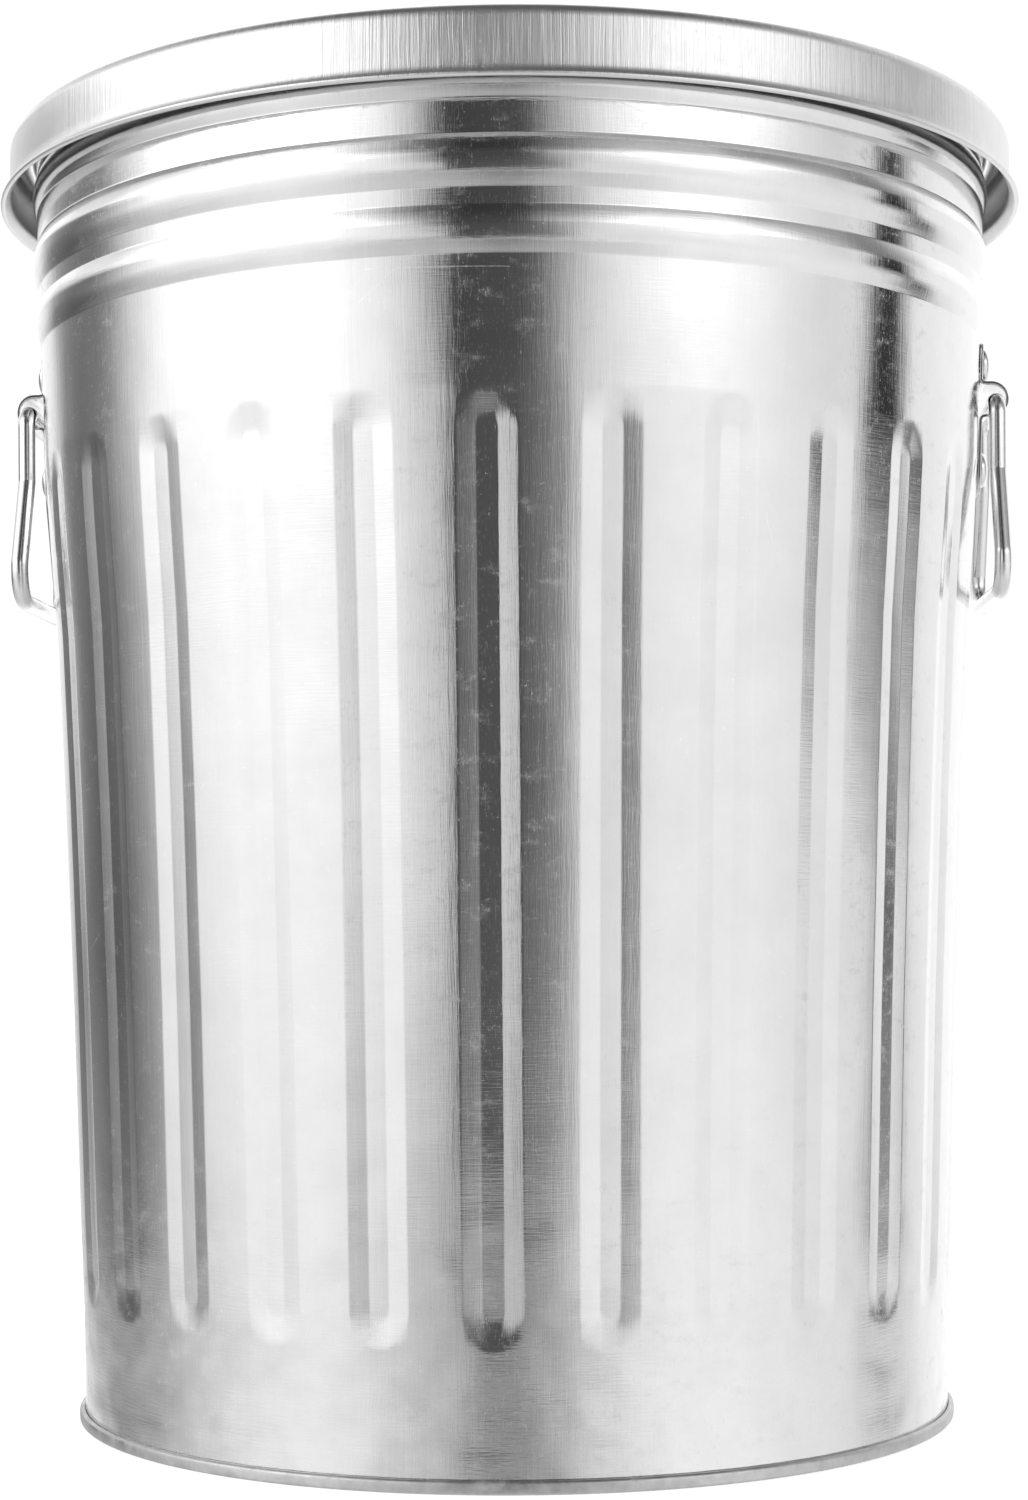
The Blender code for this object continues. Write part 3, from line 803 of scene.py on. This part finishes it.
def earMiddle():
    s = earShape
    half = s["sheet"] / 2
    hump = s["humpHalf"] - half
    centre = s["humpReach"] - half - hump
    low, high = s["humpHeight"] - hump, s["humpHeight"] + hump
    lowFoot, highFoot = earBack(low) + half, earBack(high) + half
    foot = [(0.0, 2.2 * mm), (0.35 * mm, 0.9 * mm), (1.2 * mm, 0.2 * mm), (2.6 * mm, 0.0)]
    bend = [pi * k / 14 for k in range(15)]
    rises = [0, 0.8, 2, 4, 7, 12, 18, 23]
    points = [(earBack(s["bottom"] + t * mm) + half, s["bottom"] + t * mm) for t in rises]
    points += [(lowFoot + out, low - down) for out, down in foot]
    points += [(centre + hump * sin(t), s["humpHeight"] - hump * cos(t)) for t in bend]
    points += [(highFoot + out, high + up) for out, up in reversed(foot)]
    points += [(earBack(s["top"] - t * mm) + half, s["top"] - t * mm) for t in (14, 10, 7, 4, 2, 0.8, 0)]
    return points


def earHalfWidth(height):
    s = earShape
    end = min(height - s["bottom"], s["top"] - height)
    if end >= s["corner"]:
        return s["halfWidth"]
    return s["halfWidth"] - s["corner"] + sqrt(max(0.0, s["corner"] ** 2 - (s["corner"] - end) ** 2))


def makeEar(side, sign):
    s = earShape
    columns, bend = s["columns"], taperRadius(s["humpHeight"] / mm) * mm
    verts, faces = [], []
    middle = earMiddle()
    for point in middle:
        for c in range(columns + 1):
            across = earHalfWidth(point[1]) * (2 * c / columns - 1)
            turn = across / bend
            verts.append((sign * point[0] * cos(turn), point[0] * sin(turn), point[1]))
    wide = columns + 1
    for i in range(len(middle) - 1):
        for c in range(columns):
            quad = (i * wide + c, i * wide + c + 1, (i + 1) * wide + c + 1, (i + 1) * wide + c)
            faces.append(quad if sign > 0 else quad[::-1])
    ear = meshPiece(side + "EarPiece", verts, faces, brightZinc)
    thicken(ear, s["sheet"], s["edge"], True)
    return settle(ear, "root", "bright_zinc", side + "_ear")


for side, sign in (("right", 1), ("left", -1)):
    makeEar(side, sign)
print("ears made")


rivetShape = {
    "ear": {"head": 8.2 * mm, "rim": 1.2 * mm, "dome": 3.2 * mm, "shank": 3.2 * mm, "washer": 7 * mm},
    "lid": {"head": 6.5 * mm, "rim": 0.8 * mm, "dome": 2.4 * mm, "shank": 2.6 * mm, "washer": 6.5 * mm},
    "heights": {"lower": 434.5 * mm, "upper": 482.8 * mm},
    "lidPlace": 61 * mm,
    "washerSheet": 1.2 * mm,
}


def makeRepeatTree():
    # turns an outline held by another object and sets it on every point, by that point's facing
    tree, graph, source = geometryTree("repeated", [
        ("Outline", "Object"), ("Columns", "Int"), ("Rows", "Int"), ("Material", "Material")])
    outline = graph.add("GeometryNodeObjectInfo", None, {"Object": source.other("Outline")}, "Geometry")
    one = turnOutline(graph, outline, source.other("Columns"), source.other("Rows"))
    facing = graph.add("GeometryNodeInputNamedAttribute", {"data_type": "FLOAT_VECTOR"}, {"Name": "facing"})
    turn = graph.add("FunctionNodeAlignRotationToVector", {"axis": "Z"}, {"Vector": facing})
    many = graph.add("GeometryNodeInstanceOnPoints", None,
                     {"Points": source.other("Geometry"), "Instance": one, "Rotation": turn})
    closeTree(graph, many, source.other("Material"))
    return tree


repeatTree = makeRepeatTree()


def repeated(name, places, outline, columns, material, sharpAngle=40):
    # places are (point, facing)
    mesh = bpy.data.meshes.new(name)
    mesh.from_pydata([point for point, facing in places], [], [])
    attribute = mesh.attributes.new("facing", "FLOAT_VECTOR", "POINT")
    for item, (point, facing) in zip(attribute.data, places):
        item.vector = facing
    holder = bpy.data.objects.new(name + "Outline", outlineMesh(name + "Outline", outline))
    bpy.context.collection.objects.link(holder)
    values = {"Outline": holder, "Columns": columns, "Rows": len(outline), "Material": material}
    piece = runTree(name, mesh, repeatTree, values, sharpAngle)
    bpy.data.objects.remove(holder)
    return piece


def headOutline(s, tail):
    # tip of the dome down to the rim, then the shank to its tail; heights from the seat
    outline = [(0.0, s["rim"] + s["dome"])]
    edge = 0.35 * mm
    for k in range(1, 11):
        t = radians(90 - 8.6 * k)
        outline.append((s["head"] * 0.985 * cos(t), s["rim"] + s["dome"] * sin(t)))
    outline += [(s["head"], s["rim"] - 0.1 * mm), (s["head"], edge), (s["head"] - edge * 0.3, edge * 0.3)]
    outline += [(s["head"] - edge, 0.0), (s["shank"], 0.0), (s["shank"], -tail), (0.0, -tail)]
    return outline


def washerOutline(s, thickness):
    # from the middle of the clenched end outwards; heights from the sheet's back, going inwards
    edge = 0.25 * mm
    outline = [(0.0, -thickness - 1.1 * mm), (s["shank"] * 0.7, -thickness - 1.0 * mm)]
    outline += [(s["shank"] + 0.4 * mm, -thickness - 0.5 * mm), (s["shank"] + 0.5 * mm, -thickness)]
    outline += [(s["washer"] - edge, -thickness), (s["washer"], -thickness + edge), (s["washer"], -edge)]
    outline += [(s["washer"] - edge, 0.0), (0.0, 0.0)]
    return outline[::-1]


def makeRivets():
    s = rivetShape
    heads, backs = [], []
    for sign in (1, -1):
        for height in s["heights"].values():
            seat = earBack(height) + earShape["sheet"] + 0.1 * mm
            back = taperRadius(height / mm) * mm - bodyShape["sheet"] - 0.15 * mm
            heads.append(((sign * seat, 0.0, height), (sign, 0, 0)))
            backs.append(((sign * back, 0.0, height), (sign, 0, 0)))
    names = [side + "_" + place for side in ("right", "left") for place in s["heights"]]
    rivets = repeated("earRivets", heads, headOutline(s["ear"], 4.5 * mm), 40, brightZinc)
    settle(rivets, "root", "bright_zinc", *[name + "_rivet" for name in names])
    washers = repeated("earWashers", backs, washerOutline(s["ear"], s["washerSheet"]), 32, brightZinc)
    settle(washers, "root", "bright_zinc", *[name + "_washer" for name in names])

    seat = strapShape["seat"] + strapShape["sheet"]
    heads = [((sign * s["lidPlace"], 0.0, seat), (0, 0, 1)) for sign in (-1, 1)]
    backs = [((x, 0.0, lidShape["panelLevel"] - lidShape["sheet"]), up) for (x, y, z), up in heads]
    rivets = repeated("lidRivets", heads, headOutline(s["lid"], 4.0 * mm), 36, brightZinc)
    settle(rivets, "lid", "bright_zinc", "lid_left_rivet", "lid_right_rivet")
    washers = repeated("lidWashers", backs, washerOutline(s["lid"], s["washerSheet"]), 32, brightZinc)
    settle(washers, "lid", "bright_zinc", "lid_left_washer", "lid_right_washer")


strapShape = {
    "seat": 594.3 * mm,
    "sheet": 1.8 * mm,
    "edge": 0.5 * mm,
    "columns": 10,
    "halfWidth": 12.5 * mm,
    "rise": 36 * mm,
    "topHalf": 40 * mm,
    "footIn": 50 * mm,
    "footOut": 72 * mm,
}


def makeStrap():
    s = strapShape
    low = s["seat"] + s["sheet"] / 2
    high = low + s["rise"]
    corners = [Vector((s["footOut"], 0, low)), Vector((s["footIn"], 0, low))]
    corners.append(Vector((s["topHalf"], 0, high)))
    corners += [Vector((-v.x, 0, v.z)) for v in reversed(corners)]
    inner = fillet(corners, [0, 6 * mm, 14 * mm, 14 * mm, 6 * mm, 0], 8)[1:-1]
    ends = [corners[0] - Vector((t * mm, 0, 0)) for t in (0, 0.8, 2, 4, 7, 12)]
    path = ends + inner + [Vector((-v.x, 0, v.z)) for v in reversed(ends)]
    columns = s["columns"]
    verts, faces = [], []
    for v in path:
        end = s["footOut"] - abs(v.x)
        half = s["halfWidth"]
        if end < half:
            half = sqrt(max(0.0, half ** 2 - (half - end) ** 2)) * 0.75 + s["halfWidth"] * 0.25
        verts += [(v.x, half * (2 * c / columns - 1), v.z) for c in range(columns + 1)]
    wide = columns + 1
    for i in range(len(path) - 1):
        for c in range(columns):
            faces.append((i * wide + c, (i + 1) * wide + c, (i + 1) * wide + c + 1, i * wide + c + 1))
    strap = meshPiece("lidStrap", verts, faces, brightZinc)
    thicken(strap, s["sheet"], s["edge"])
    return settle(strap, "lid", "bright_zinc", "lid_handle")


makeStrap()
makeRivets()
print("strap handle, rivets and washers made")


studio = {
    "floorSize": 12.0,
    "floorShade": 0.92,
    "floorGlow": 0.55,
    "lampPower": 60.0,
    "distance": 1.275,
    "bearing": 2.55,
    "eyeHeight": 0.230,
    "lens": 65.28,
    "shift": (0.0, 0.1087),
    "roll": -0.34,
    # brightness of the studio by bearing, from the front towards the right, at nine elevations
    "tones": {
        -14.0: [
            (-180, 1.25), (-170, 1.25), (-139, 0.80), (-127, 0.48), (-103, 0.57), (-86, 0.72),
            (-70, 0.88), (-53, 1.00), (-40, 0.88), (-29, 0.68), (-22, 0.60), (-18, 0.50), (-12, 0.42),
            (-7, 0.31), (-2, 0.24), (1, 0.24), (5, 0.33), (10, 0.44), (14, 0.56), (20, 0.66),
            (28, 0.80), (40, 1.05), (55, 1.05), (75, 0.96), (94, 0.88), (108, 0.78), (133, 0.95),
            (170, 1.25), (180, 1.25),
        ],
        -11.3: [
            (-180, 1.25), (-170, 1.25), (-139, 0.80), (-127, 0.44), (-103, 0.52), (-86, 0.72),
            (-70, 0.92), (-53, 1.04), (-40, 0.94), (-29, 0.76), (-25, 0.70), (-18, 0.68), (-15, 0.55),
            (-7, 0.49), (1, 0.46), (5, 0.53), (9, 0.60), (12, 0.66), (15, 0.76), (22, 0.90), (40, 1.07),
            (55, 1.05), (75, 0.96), (94, 0.88), (108, 0.76), (133, 0.98), (170, 1.25), (180, 1.25),
        ],
        -9.6: [
            (-180, 1.2), (-146, 0.60), (-126, 0.34), (-112, 0.36), (-102, 0.46), (-90, 0.70),
            (-78, 0.92), (-66, 1.02), (-52, 1.05), (-38, 0.94), (-29, 0.62), (-25, 0.52), (-18, 0.46),
            (-15, 0.36), (-7, 0.27), (1, 0.26), (4, 0.32), (6, 0.40), (11, 0.46), (14, 0.68),
            (20, 0.86), (40, 1.05), (58, 1.05), (76, 0.95), (96, 0.88), (106, 0.62), (114, 0.64),
            (136, 1.05), (180, 1.2),
        ],
        -8.0: [
            (-180, 1.2), (-146, 0.40), (-126, 0.20), (-112, 0.22), (-102, 0.38), (-92, 0.66),
            (-82, 0.90), (-68, 1.02), (-52, 1.05), (-38, 0.98), (-27, 0.76), (-20, 0.62), (-15.5, 0.48),
            (-13, 0.13), (-6, 0.10), (1, 0.18), (4, 0.23), (7, 0.28), (11, 0.38), (14, 0.62),
            (18, 0.80), (26, 0.88), (40, 1.04), (58, 1.04), (76, 0.94), (96, 0.88), (104, 0.36),
            (114, 0.40), (120, 0.86), (136, 1.05), (180, 1.2),
        ],
        -2.0: [
            (-180, 1.2), (-146, 0.25), (-124, 0.10), (-114, 0.14), (-104, 0.34), (-94, 0.66),
            (-84, 0.96), (-70, 1.12), (-52, 1.12), (-38, 1.02), (-27, 0.98), (-21, 0.78), (-15.5, 0.68),
            (-13, 0.06), (-8, 0.09), (1, 0.10), (7, 0.18), (12, 0.34), (16, 0.80), (24, 0.86),
            (36, 0.98), (58, 1.02), (76, 0.90), (96, 0.88), (103, 0.60), (106, 0.12), (112, 0.14),
            (118, 0.88), (136, 1.08), (180, 1.2),
        ],
        7.0: [
            (-180, 1.2), (-146, 0.9), (-136, 0.24), (-124, 0.16), (-112, 0.26), (-104, 0.55),
            (-94, 1.05), (-84, 1.25), (-70, 1.4), (-45, 1.4), (-34, 1.12), (-26, 0.92), (-18.5, 0.62),
            (-15, 0.44), (-13, 0.06), (-8, 0.08), (1, 0.09), (6, 0.16), (11, 0.32), (16, 0.72),
            (24, 0.88), (38, 1.06), (52, 1.14), (66, 0.98), (80, 0.84), (89, 0.84), (93, 0.03),
            (104, 0.03), (109, 0.95), (130, 1.08), (180, 1.2),
        ],
        14.0: [
            (-180, 1.25), (-150, 1.05), (-139, 0.42), (-128, 0.22), (-115, 0.18), (-109, 0.32),
            (-101, 0.74), (-92, 1.12), (-80, 1.8), (-46, 1.8), (-38, 1.15), (-29, 1.02), (-24, 0.70),
            (-18.5, 0.42), (-15.5, 0.05), (-8, 0.06), (3, 0.07), (6, 0.14), (11, 0.44), (15, 0.58),
            (20, 0.84), (30, 1.18), (44, 1.6), (55, 1.22), (68, 0.94), (79, 0.80), (94, 0.88),
            (95.5, 0.04), (103, 0.05), (110, 0.94), (180, 1.25),
        ],
        20.0: [
            (-180, 1.6), (-150, 1.5), (-128, 1.0), (-112, 1.0), (-96, 1.9), (-82, 2.8), (-44, 2.8),
            (-34, 1.6), (-24, 0.8), (-17, 0.3), (-14, 0.06), (3, 0.08), (10, 0.5), (20, 1.0), (32, 2.0),
            (54, 2.4), (66, 1.4), (76, 0.82), (86, 0.50), (94, 0.25), (102, 0.25), (110, 0.45),
            (120, 1.1), (180, 1.6),
        ],
        38.0: [
            (-180, 1.0), (-130, 0.6), (-98, 0.8), (-80, 1.3), (-48, 1.3), (-36, 0.7), (-24, 0.18),
            (-14, 0.035), (3, 0.045), (12, 0.18), (22, 0.42), (34, 0.62), (54, 0.60), (66, 0.36),
            (92, 0.36), (100, 0.26), (110, 0.7), (130, 1.0), (180, 1.0),
        ],
    },
    "zenithTone": 0.10,
    "zenithRise": (42.0, 64.0),    # degrees over which the sky passes into zenithTone
    "underTone": 0.75,        # at underEdge degrees and below
    "underEdge": -60.0,
    "backdrop": 1.05,         # what the camera sees behind everything
    "lampSize": 5.0,
    "lampHeight": 4.5,
}


def makeWorld():
    world = bpy.data.worlds.new("studio")
    bpy.context.scene.world = world
    world.use_nodes = True
    world.node_tree.nodes.clear()
    graph = Graph(world.node_tree)
    x, y, z = graph.split(graph.add("ShaderNodeTexCoord", None, None, "Generated"))
    bearing = (graph.math("ARCTAN2", x, -y) * (180 / pi) + (180 - studio["bearing"])) / 360.0
    rise = graph.math("ARCSINE", z) * (180 / pi)

    tone, below = studio["underTone"], studio["underEdge"]
    for elevation, stops in studio["tones"].items():
        shades = [((place + 180) / 360, shade / 2) for place, shade in stops]
        ramp = graph.add("ShaderNodeValToRGB", {"stops": shades}, {0: bearing})
        level = graph.add("ShaderNodeRGBToBW", None, {0: ramp}) * 2.0
        tone = graph.mix(graph.clamp((rise - below) / (elevation - below)), tone, level)
        below = elevation
    tone = graph.mix(graph.smooth(rise, *studio["zenithRise"]), tone, studio["zenithTone"])
    seen = graph.add("ShaderNodeLightPath", None, None, "Is Camera Ray")
    strength = graph.mix(seen, tone, studio["backdrop"])
    background = graph.add("ShaderNodeBackground", None, {"Color": (1, 1, 1, 1), "Strength": strength})
    graph.add("ShaderNodeOutputWorld", None, {"Surface": background})


def makeFloor():
    half = studio["floorSize"] / 2
    mesh = bpy.data.meshes.new("floor")
    corners = [(-half, -half, 0), (half, -half, 0), (half, half, 0), (-half, half, 0)]
    mesh.from_pydata(corners, [], [(0, 1, 2, 3)])
    material, _, shader = newMaterial("paleFloor")
    shade = studio["floorShade"]
    shader.inputs["Metallic"].default_value = 0.0
    shader.inputs["Roughness"].default_value = 0.9
    shader.inputs["Specular IOR Level"].default_value = 0.0
    shader.inputs["Base Color"].default_value = (shade, shade, shade, 1)
    shader.inputs["Emission Color"].default_value = (1, 1, 1, 1)
    shader.inputs["Emission Strength"].default_value = studio["floorGlow"]
    mesh.materials.append(material)
    floor = bpy.data.objects.new("floor", mesh)
    bpy.context.collection.objects.link(floor)
    floor.visible_glossy = False


def makeLamp():
    data = bpy.data.lights.new("softLamp", "AREA")
    data.shape = "DISK"
    data.size = studio["lampSize"]
    data.energy = studio["lampPower"]
    lamp = bpy.data.objects.new("softLamp", data)
    lamp.location = (0, 0, studio["lampHeight"])
    lamp.visible_glossy = False
    bpy.context.collection.objects.link(lamp)


def makeCamera():
    data = bpy.data.cameras.new("camera")
    data.lens = studio["lens"]
    data.sensor_width = 36.0
    data.shift_x, data.shift_y = studio["shift"]
    data.clip_start = 0.05
    data.clip_end = 50.0
    camera = bpy.data.objects.new("camera", data)
    orbit = Matrix.Rotation(radians(studio["bearing"]), 4, "Z")
    turn = Matrix.Rotation(radians(90), 4, "X") @ Matrix.Rotation(radians(studio["roll"]), 4, "Z")
    camera.matrix_world = orbit @ Matrix.Translation((0, -studio["distance"], studio["eyeHeight"])) @ turn
    bpy.context.collection.objects.link(camera)
    bpy.context.scene.camera = camera


makeWorld()
makeFloor()
makeLamp()
makeCamera()
bpy.context.scene.view_settings.view_transform = "Standard"
print("studio made")

bpy.context.view_layer.update()
